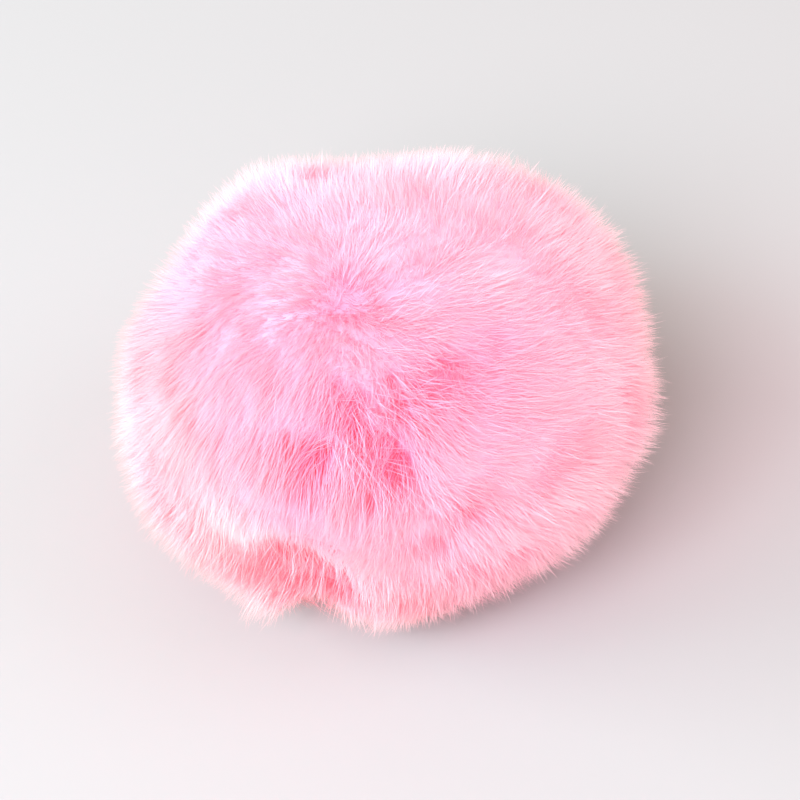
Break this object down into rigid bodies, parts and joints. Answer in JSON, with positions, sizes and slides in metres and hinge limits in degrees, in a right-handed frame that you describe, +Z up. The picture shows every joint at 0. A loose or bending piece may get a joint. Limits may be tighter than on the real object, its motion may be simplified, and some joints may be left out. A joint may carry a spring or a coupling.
{
  "type": "fur pom pom",
  "caption": "Soft ball of long artificial fur in pale pink, resting on a small flat spot, for trimming bags, hats, shoes and key rings.",
  "frame": {"origin": "on the surface that the ball rests on, under the middle of its footprint", "axes": "+Z up out of the surface, +X to the right of the front view along the ball's widest way, +Y to the back"},
  "size_m": [0.094, 0.0868, 0.0694],
  "materials": {
    "pink_fur": "soft long pile, paler at its tips"
  },
  "bodies": {
    "root": {"fur_ball": "pink_fur"}
  },
  "joints": []
}
